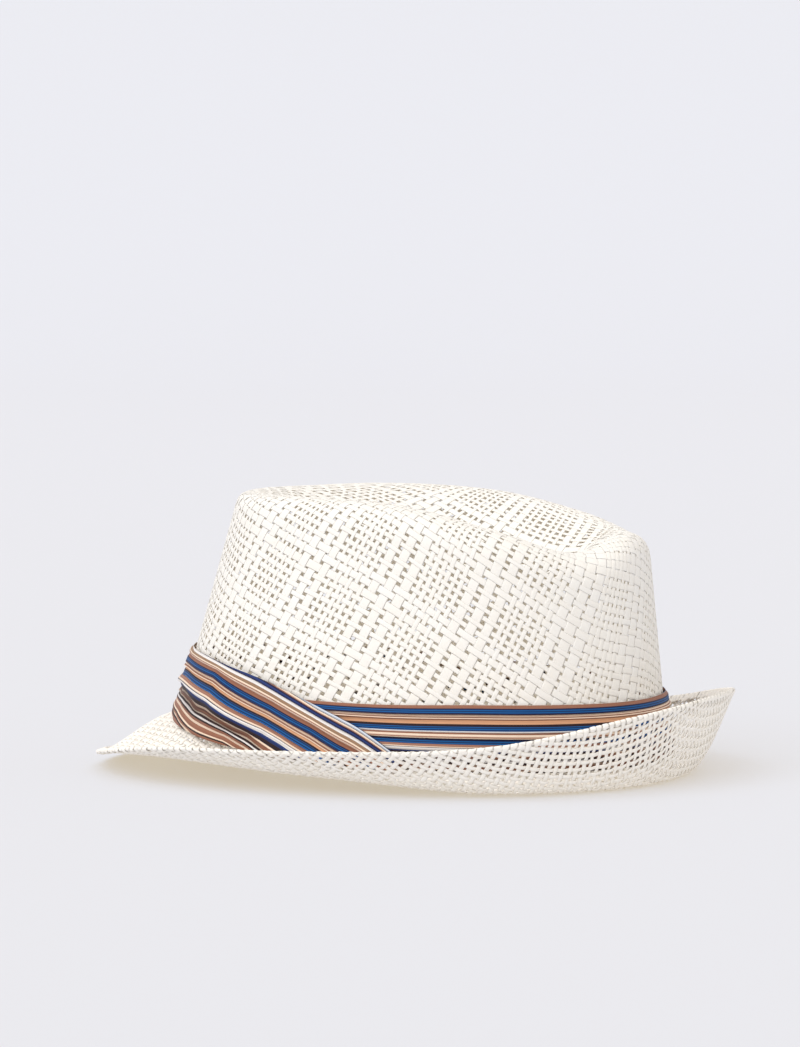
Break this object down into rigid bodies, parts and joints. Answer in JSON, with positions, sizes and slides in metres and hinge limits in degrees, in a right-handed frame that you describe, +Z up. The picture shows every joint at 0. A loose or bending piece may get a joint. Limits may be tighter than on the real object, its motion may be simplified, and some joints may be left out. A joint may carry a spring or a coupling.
{
  "type": "short-brimmed woven straw trilby hat with a pleated cloth band",
  "caption": "White woven paper-straw trilby with a dented crown, a short brim snapped down in front and curled up behind, and a striped pleated cloth band.",
  "frame": {"origin": "bottom centre of the bounding box, on the surface that the hat rests on", "axes": "+Z up, the front of the hat towards -Y, its left side, where the band crosses itself, towards +X"},
  "size_m": [0.2336, 0.2681, 0.1156],
  "materials": {
    "straw": "matt twisted paper straw with a slight sheen, woven open",
    "band_cloth": "smooth woven striped cloth with a soft satin sheen, in brown, blue, navy, tan and cream"
  },
  "bodies": {
    "root": {"crown": "straw", "brim": "straw", "hatband": "band_cloth"}
  },
  "joints": []
}
